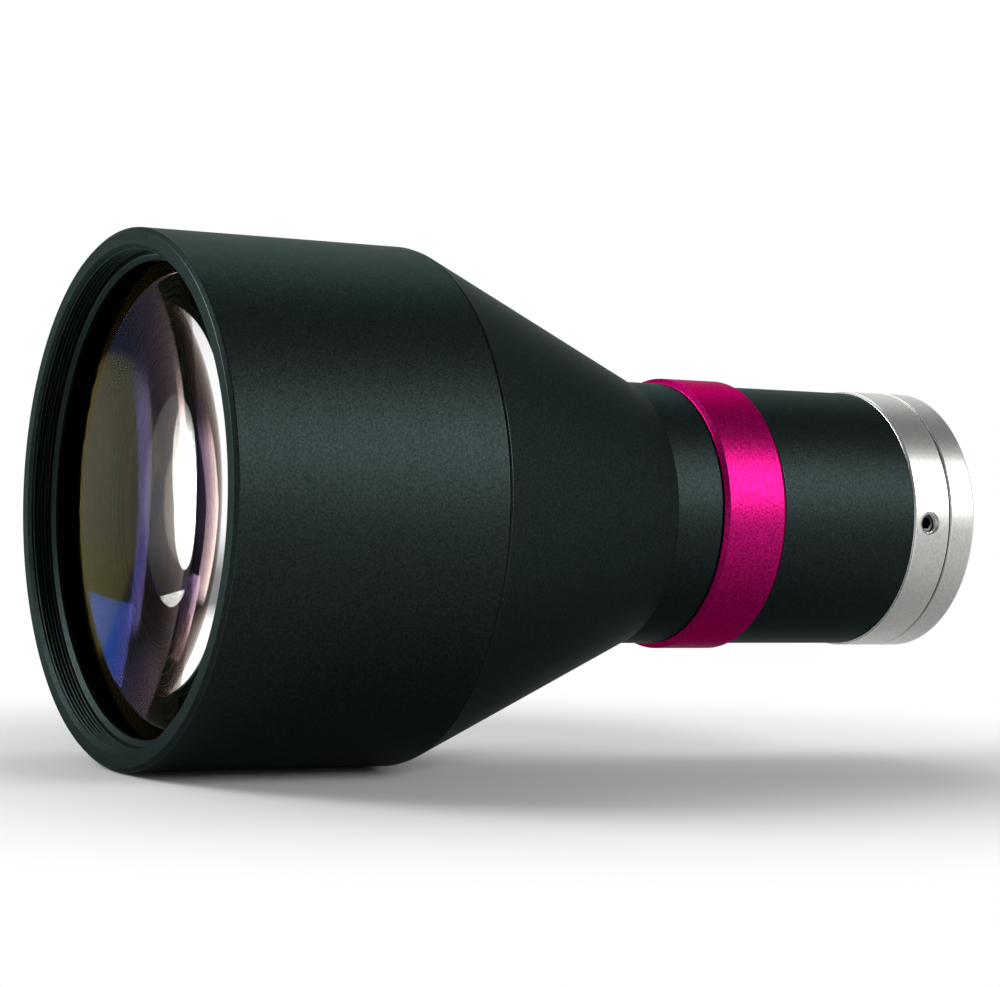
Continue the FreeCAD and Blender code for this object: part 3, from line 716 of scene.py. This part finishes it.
def hexagon_radius(angle):
    """The distance from the centre of a hexagon to its side at this angle."""
    return SOCKET_R * math.cos(math.pi / 6) / math.cos((angle % (math.pi / 3)) - math.pi / 6)


def screw_outline():
    """Rows (height, radius or None for the hexagon) from the point over the shank and down into the socket."""
    head = MOUNT_R - SCREW_SUNK
    tip = TURNING_R - TURNING_GROOVE + 0.35
    return [
        (tip, 0.3),
        (tip + 1.15, SHANK_R),
        (head - 0.2, SHANK_R),
        (head, 1.25),
        (head, 1.02),
        (head - 0.1, None),
        (head - 1.2, None),
    ]


SCREW_STEPS = 72
for turn in SCREW_ANGLES:
    spin = Matrix.Rotation(math.radians(turn), 3, "Y")
    base = len(screw_points)
    outline = screw_outline()
    for height, r in outline:
        for k in range(SCREW_STEPS):
            angle = 2 * math.pi * k / SCREW_STEPS
            reach = hexagon_radius(angle) if r is None else r
            place = Vector((height, SCREW_PLACE - FLANGE + reach * math.cos(angle), reach * math.sin(angle)))
            screw_points.append(tuple(MM * (spin @ place)))
    for i in range(len(outline) - 1):
        for k in range(SCREW_STEPS):
            m = (k + 1) % SCREW_STEPS
            a, b = base + i * SCREW_STEPS, base + (i + 1) * SCREW_STEPS
            screw_faces.append((a + k, a + m, b + m, b + k))
    screw_faces.append(tuple(base + k for k in range(SCREW_STEPS)))
    last = base + (len(outline) - 1) * SCREW_STEPS
    screw_faces.append(tuple(last + k for k in range(SCREW_STEPS)))
screw_mesh = bpy.data.meshes.new("set_screws")
screw_mesh.from_pydata(screw_points, [], screw_faces)
fit_piece("set_screws", screw_mesh, [screw_steel], ["mount_set_screws"])

# %% [markdown]
# ## The turning ring and the camera's thread
# The rear ring carries the flange and the male thread of the camera mount, one inch across with 32 turns to the
# inch. The same helper as before cuts the thread, this time inwards from the crest. Beside the flange the thread
# runs out into a narrow relief, so that the camera can sit flat.

# %% Turn the turning ring
MOUNT_PITCH = 25.4 / 32
MOUNT_THREAD_R = 12.7
MOUNT_THREAD_DEPTH = 0.48
THREAD_START = FLANGE - 0.4


def mount_thread(s, r, angle):
    """Cuts the camera's thread into the rows of the rear spigot."""
    if s < THREAD_START + 0.01 or r > MOUNT_THREAD_R + 0.01 or r < 11.5:
        return s, r
    depth = MOUNT_THREAD_DEPTH * groove_depth(s / MOUNT_PITCH - angle / (2 * math.pi))
    relief = min(1.0, max(0.0, (THREAD_START + 0.9 - s) / 0.25))
    lead = max(0.0, s - (THREAD_END - 0.4))
    return s, MOUNT_THREAD_R - max(depth, MOUNT_THREAD_DEPTH * relief, lead)


THREAD_ROWS = int((THREAD_END - THREAD_START) / 0.07)
TURNING_BORE_R = 13.2
UNDERCUT_R = 13.6
THROAT_R = 11.2
BORE_END = span("rear_lens_cell")[1] + 0.2
turning_rows = rounded(
    [
        (TURNING_FRONT, TURNING_BORE_R, 0.1),
        (TURNING_FRONT, TURNING_R, 0.1),
        (SCREW_PLACE - TURNING_GROOVE, TURNING_R, 0.0),
        (SCREW_PLACE, TURNING_R - TURNING_GROOVE, 0.0),
        (SCREW_PLACE + TURNING_GROOVE, TURNING_R, 0.0),
        (SLEEVE_END, TURNING_R, 0.0),
        (SLEEVE_END, MOUNT_R - 1.2, 0.0),
        (SLEEVE_END + 0.13, MOUNT_R - 1.2, 0.0),
        (SLEEVE_END + 0.13, MOUNT_R - 0.16, 0.03),
        (SLEEVE_END + 0.3, MOUNT_R, 0.04),
        (FLANGE - 0.5, MOUNT_R, 0.1),
        (FLANGE, MOUNT_R - 0.5, 0.08),
        (FLANGE, UNDERCUT_R, 0.06),
        (THREAD_START, UNDERCUT_R, 0.0),
    ]
    + [
        (THREAD_START + (THREAD_END - THREAD_START) * k / THREAD_ROWS, MOUNT_THREAD_R, 0.0)
        for k in range(THREAD_ROWS + 1)
    ]
    + [
        (THREAD_END, THROAT_R, 0.1),
        (BORE_END, THROAT_R, 0.1),
        (BORE_END, TURNING_BORE_R, 0.0),
    ]
)
fit_piece(
    "c_mount_ring_turned",
    turned_mesh("c_mount_ring_turned", turning_rows, 320, wave=mount_thread),
    [steel, steel_edge_highlight],
    ["c_mount_ring"],
)

# %% [markdown]
# ## Grinding the glass
# A lens surface is part of a sphere, so each one is given by its radius of curvature. The profile runs from the
# axis along the front surface, over the flat seat and the blackened rim, and back along the rear surface. The two
# cemented front elements are made as one solid here, because the cement joins them with no air between, and light
# passes that joint as if it were not there.

# %% The profile of a lens
FRONT_GLASS_R = 31.0
GLASS_BEVEL = 0.3


def sag(curve, radius):
    """How far behind its vertex a spherical surface lies at this radius."""
    return curve - math.copysign(math.sqrt(curve**2 - radius**2), curve)


def lens_rows(front, rear, rim_r, steps=56):
    """Rows of a lens. Each side is (vertex, curve, clear radius), and the last flag marks the inked rim."""
    rows = []
    vertex, curve, clear = front
    for k in range(steps + 1):
        r = clear * k / steps
        rows.append((vertex + sag(curve, r), r, 0))
    place = rows[-1][0]
    rows[-1] = (place, clear, 1)
    rows.append((place, rim_r - GLASS_BEVEL, 1))
    rows.append((place + GLASS_BEVEL, rim_r, 1))
    vertex, curve, clear = rear
    place = vertex + sag(curve, clear)
    rows.append((place - GLASS_BEVEL, rim_r, 1))
    rows.append((place, rim_r - GLASS_BEVEL, 1))
    for k in range(steps, -1, -1):
        r = clear * k / steps
        rows.append((vertex + sag(curve, r), r, 2))
    return rows


def grind(name, front, rear, rim_r, materials, replaced, steps=56):
    """Makes a lens with one finish for each surface and one for its rim."""
    rows = lens_rows(front, rear, rim_r, steps)
    fit_piece(name, turned_mesh(name, rows, 256, closed=False), materials, replaced, sharp=15)

# %% [markdown]
# ## The front group
# The doublet comes first, almost flat in front, and the strongly curved meniscus stands close behind it. Their
# outer faces come from the boxes of the model's own elements, so they lie on the same seats.

# %% Grind the front group
FRONT_CLEAR_R = 30.0
REAR_CLEAR_R = 28.5
flint_front = span("front_flint_element")[0]
crown_rear = span("front_crown_element")[1]
meniscus_front, meniscus_rear_seat, _ = span("front_meniscus_element")
MENISCUS_REAR_CURVE = 190.0
grind(
    "front_doublet_ground",
    (flint_front, 600.0, FRONT_CLEAR_R),
    (crown_rear, -115.0, REAR_CLEAR_R),
    FRONT_GLASS_R,
    [front_coat, rim_ink, doublet_rear_coat],
    ["front_flint_element", "front_crown_element"],
)
grind(
    "front_meniscus_ground",
    (meniscus_front, 54.0, REAR_CLEAR_R),
    (meniscus_rear_seat - sag(MENISCUS_REAR_CURVE, REAR_CLEAR_R), MENISCUS_REAR_CURVE, REAR_CLEAR_R),
    FRONT_GLASS_R,
    [plain_glass, rim_ink, plain_glass],
    ["front_meniscus_element"],
)

# %% [markdown]
# ## The grooved spacer behind the front glass
# The ring that keeps the two front lenses apart is grooved inside, and those grooves are the fine rings that show
# through the glass.

# %% Turn the spacer
spacer_front, spacer_rear, _ = span("front_spacer_ring")
SPACER_GROOVES = 14
SPACER_GROOVE_DEPTH = 0.35
spacer_bore = []
for k in range(SPACER_GROOVES):
    for part, deep in ((0.1, 0.0), (0.45, 1.0), (0.6, 1.0), (0.95, 0.0)):
        s = spacer_front + (k + part) * (spacer_rear - spacer_front) / SPACER_GROOVES
        spacer_bore.append((s, REAR_CLEAR_R + SPACER_GROOVE_DEPTH * deep, 0.0))
spacer_rows = rounded(
    [(spacer_front, FRONT_GLASS_R, 0.0), (spacer_front, REAR_CLEAR_R, 0.0)]
    + spacer_bore
    + [(spacer_rear, REAR_CLEAR_R, 0.0), (spacer_rear, FRONT_GLASS_R, 0.0)]
)
fit_piece(
    "front_spacer_ring_turned",
    turned_mesh("front_spacer_ring_turned", spacer_rows, 256),
    [black, black_edge_wear_and_highlight],
    ["front_spacer_ring"],
)

# %% [markdown]
# ## The last lens
# The last lens can be seen from behind, through the throat of the mount, so it gets its true curves too.

# %% Grind the last lens
LAST_CLEAR_R = 10.0
LAST_FRONT_CURVE = 26.5
LAST_REAR_CURVE = -48.0
convex_front, _, _ = span("rear_convex_element")
CONVEX_THICKNESS = 0.99 + sag(LAST_FRONT_CURVE, LAST_CLEAR_R) - sag(LAST_REAR_CURVE, LAST_CLEAR_R)
grind(
    "rear_convex_ground",
    (convex_front, LAST_FRONT_CURVE, LAST_CLEAR_R),
    (convex_front + CONVEX_THICKNESS, LAST_REAR_CURVE, LAST_CLEAR_R),
    10.95,
    [rear_glass, rim_ink, rear_glass],
    ["rear_convex_element"],
    steps=24,
)

# %% [markdown]
# ## The parts that stay as the model has them
# The thin rings, discs and small lenses inside are right as they are. They only need their finish, which goes into
# the material slots of their own meshes.

# %% Dress the remaining nodes
INSIDE_FINISH = {
    "front_baffle": black_inside,
    "rear_baffle": black_inside,
    "stop_seat_ring": black_inside,
    "aperture_stop": black_inside,
    "rear_lens_cell": black,
    "cell_spacer": black_inside,
    "rear_spacer_ring": black_inside,
    "rear_retaining_ring": black,
    "back_focus_shim": brass,
    "rear_concave_element": rear_glass,
    "rear_flint_element": rear_glass,
    "rear_crown_element": rear_glass,
}
for name, material in INSIDE_FINISH.items():
    slots = nodes[name].data.materials
    if not len(slots):
        slots.append(material)
    for index in range(len(slots)):
        slots[index] = material
print(f"{len(INSIDE_FINISH)} nodes dressed")

# %% [markdown]
# ## The sky and the floor
# The lens lies on pale paper in a white room with a dim ceiling. The walls are white all round near the floor, so
# that every view has a plain pale background, and one wall stays bright further up. A window, a round card and a
# skylight are brighter patches, which the glass and the metal mirror. One small group of nodes says how bright the
# room is in a direction, and the sky shows that brightness.

# %% Set the room's light by direction
WALL = (-0.86, 0.5, 0.06)
WINDOW = (-0.663, -0.749, 0.0)
WINDOW_SIDE = (0.749, -0.663, 0.0)
CARD = (-0.931, -0.348, -0.02)
SKYLIGHT = (-0.6, -0.36, 0.7)
CEILING_LEVEL = 0.25
WINDOW_LEVEL = 8.0
SKYLIGHT_LEVEL = 1.3
CARD_LEVEL = 7.0


def room_brightness(tree, way):
    """How bright the room is in the direction that this socket gives."""
    def scale(source, start, end, low, high):
        node = tree.nodes.new("ShaderNodeMapRange")
        node.interpolation_type = "SMOOTHSTEP"
        for key, value in (("From Min", start), ("From Max", end), ("To Min", low), ("To Max", high)):
            node.inputs[key].default_value = value
        tree.links.new(source, node.inputs["Value"])
        return node.outputs["Result"]

    def patch(centre, start, end, low, high):
        node = tree.nodes.new("ShaderNodeVectorMath")
        node.operation = "DOT_PRODUCT"
        node.inputs[1].default_value = Vector(centre).normalized()
        tree.links.new(way, node.inputs[0])
        return scale(node.outputs["Value"], start, end, low, high)

    def both(operation, first, second):
        node = tree.nodes.new("ShaderNodeMath")
        node.operation = operation
        tree.links.new(first, node.inputs[0])
        tree.links.new(second, node.inputs[1])
        return node.outputs["Value"]

    parts = tree.nodes.new("ShaderNodeSeparateXYZ")
    tree.links.new(way, parts.inputs["Vector"])
    room = scale(parts.outputs["Z"], 0.05, 0.3, 1.0, CEILING_LEVEL)
    lit = both("MAXIMUM", patch(WALL, 0.42, 0.93, CEILING_LEVEL, 1.0), room)
    from_left = patch(WINDOW_SIDE, -0.08, -0.06, 0.0, 1.0)
    strip = both("MULTIPLY", from_left, patch(WINDOW_SIDE, 0.055, 0.06, 1.0, 0.0))
    window = both("MULTIPLY", strip, patch(WINDOW, 0.9, 0.94, 0.0, WINDOW_LEVEL))
    lamps = both("MAXIMUM", window, patch(SKYLIGHT, 0.9, 0.97, 0.0, SKYLIGHT_LEVEL))
    glow = both("MAXIMUM", lamps, patch(CARD, 0.997, 0.9977, 0.0, CARD_LEVEL))
    return both("MAXIMUM", lit, glow)


world = bpy.data.worlds.new("studio")
bpy.context.scene.world = world
world.use_nodes = True
sky = world.node_tree
way = sky.nodes.new("ShaderNodeTexCoord")
sky.nodes["Background"].inputs["Color"].default_value = (1, 1, 1, 1)
sky.links.new(room_brightness(sky, way.outputs["Generated"]), sky.nodes["Background"].inputs["Strength"])
print("the wall is towards", WALL)

# %% [markdown]
# ## The paper floor
# Near the lens the paper's own grey shows, and on it the shadow. That grey pool round the lens, darker than the
# floor further out only by its distance from the lens, is painted shade, and the real shadow falls on it. Further
# out the paper glows for every ray that looks at it, straight or by way of metal and glass, as bright as the room
# behind it and never less than white, so the window and the card show on the far floor as painted glowing patches.
# So the floor fades into the background without a visible end.

# %% Lay the floor
FLOOR_REACH = 9
# Out to these distances the floor keeps its lit grey, a painted shade pool round the lens.
SHADE_POOL_EDGE_START = 0.045
SHADE_POOL_EDGE_END = 0.115
# From these distances on, the floor glows as bright as the room, which paints the window and the card on it as
# patches above white.
PAINTED_PATCH_START = 0.12
PAINTED_PATCH_END = 0.18
FLOOR_HEIGHT = cad_low.z - 0.0002
floor_mesh = bpy.data.meshes.new("floor")
corners = [(x * FLOOR_REACH, y * FLOOR_REACH, FLOOR_HEIGHT) for x, y in ((-1, -1), (1, -1), (1, 1), (-1, 1))]
floor_mesh.from_pydata(corners, [], [(0, 1, 2, 3)])
floor = bpy.data.objects.new("floor", floor_mesh)
bpy.context.collection.objects.link(floor)
floor_finish, tree, shader, add = new_material("floor_painted_shade_and_glow")
shader.inputs["Base Color"].default_value = (0.5, 0.5, 0.5, 1)
shader.inputs["Roughness"].default_value = 0.9
shader.inputs["Specular IOR Level"].default_value = 0.1
glow = add("ShaderNodeEmission")
seen = add("ShaderNodeLightPath")
where = add("ShaderNodeTexCoord")
shift = add("ShaderNodeVectorMath", operation="MULTIPLY_ADD")
shift.inputs[1].default_value = (1.0, 0.8, 0.0)
shift.inputs[2].default_value = (0.0, 0.8 * 0.06, 0.0)
from_glass = add("ShaderNodeVectorMath", operation="MULTIPLY_ADD")
from_glass.inputs[1].default_value = (1.0, 1.0, 0.0)
from_glass.inputs[2].default_value = (0.0, 0.1, 0.0)
away = add("ShaderNodeVectorMath", operation="NORMALIZE")
far = add("ShaderNodeVectorMath", operation="LENGTH")
# Where this share is low the floor shows its lit grey: the painted shade pool round the lens.
shade_pool_fade = add("ShaderNodeMapRange", interpolation_type="SMOOTHSTEP")
shade_pool_fade.inputs["From Min"].default_value = SHADE_POOL_EDGE_START
shade_pool_fade.inputs["From Max"].default_value = SHADE_POOL_EDGE_END
shade_pool_fade.inputs["To Min"].default_value = 0.0
straight = add("ShaderNodeMath", operation="MAXIMUM")
any_view = add("ShaderNodeMath", operation="MAXIMUM")
share = add("ShaderNodeMath", operation="MULTIPLY")
mix = add("ShaderNodeMixShader")
tree.links.new(where.outputs["Object"], shift.inputs[0])
tree.links.new(shift.outputs["Vector"], far.inputs[0])
tree.links.new(where.outputs["Object"], from_glass.inputs[0])
tree.links.new(from_glass.outputs["Vector"], away.inputs[0])
# The far floor's glow takes the room's brightness, so the window and the card are painted on it as glowing patches.
white = add("ShaderNodeMath", operation="MAXIMUM")
white.inputs[0].default_value = 1.0
tree.links.new(room_brightness(tree, away.outputs["Vector"]), white.inputs[1])
plain = add("ShaderNodeMapRange", interpolation_type="SMOOTHSTEP")
plain.inputs["From Min"].default_value = PAINTED_PATCH_START
plain.inputs["From Max"].default_value = PAINTED_PATCH_END
plain.inputs["To Min"].default_value = 1.0
tree.links.new(far.outputs["Value"], plain.inputs["Value"])
tree.links.new(white.outputs["Value"], plain.inputs["To Max"])
tree.links.new(plain.outputs["Result"], glow.inputs["Strength"])
tree.links.new(far.outputs["Value"], shade_pool_fade.inputs["Value"])
tree.links.new(seen.outputs["Is Camera Ray"], straight.inputs[0])
tree.links.new(seen.outputs["Is Glossy Ray"], straight.inputs[1])
tree.links.new(straight.outputs["Value"], any_view.inputs[0])
tree.links.new(seen.outputs["Is Transmission Ray"], any_view.inputs[1])
tree.links.new(any_view.outputs["Value"], share.inputs[0])
tree.links.new(shade_pool_fade.outputs["Result"], share.inputs[1])
tree.links.new(share.outputs["Value"], mix.inputs["Fac"])
tree.links.new(shader.outputs["BSDF"], mix.inputs[1])
tree.links.new(glow.outputs["Emission"], mix.inputs[2])
tree.links.new(mix.outputs["Shader"], tree.nodes["Material Output"].inputs["Surface"])
floor_mesh.materials.append(floor_finish)
print("floor at", round(1000 * FLOOR_HEIGHT, 1), "mm")

# %% [markdown]
# ## The lamps
# Three soft boxes light the lens. The first stands to the right of it and gives the wide pale band along the upper
# half of every tube. The second hangs on the far side and lights the tops. The third stands in front of the glass,
# on the far side, where the rear of the doublet mirrors it as the blue wedge.

# %% Hang the lamps
def soft_box(name, place, aim, width, height, radiance):
    """A rectangular lamp of this radiance, which looks at a point."""
    lamp = bpy.data.lights.new(name, "AREA")
    lamp.shape = "RECTANGLE"
    lamp.size = width
    lamp.size_y = height
    lamp.energy = radiance * math.pi * width * height
    box = bpy.data.objects.new(name, lamp)
    bpy.context.collection.objects.link(box)
    box.matrix_world = look_from(Vector(place), Vector(aim))
    print(f"{name}: {lamp.energy:.1f} W")


soft_box("key_soft_box", (0.45, 0.22, 0.25), (0.0, -0.05, 0.0), 0.42, 0.3, 9.0)
soft_box("back_soft_box", (-0.3, 0.12, 0.5), (0.0, -0.08, 0.0), 0.32, 0.36, 3.2)
soft_box("front_soft_box", (-0.3, -0.73, 0.42), (0.0, -0.12, 0.0), 0.42, 0.4, 15.0)
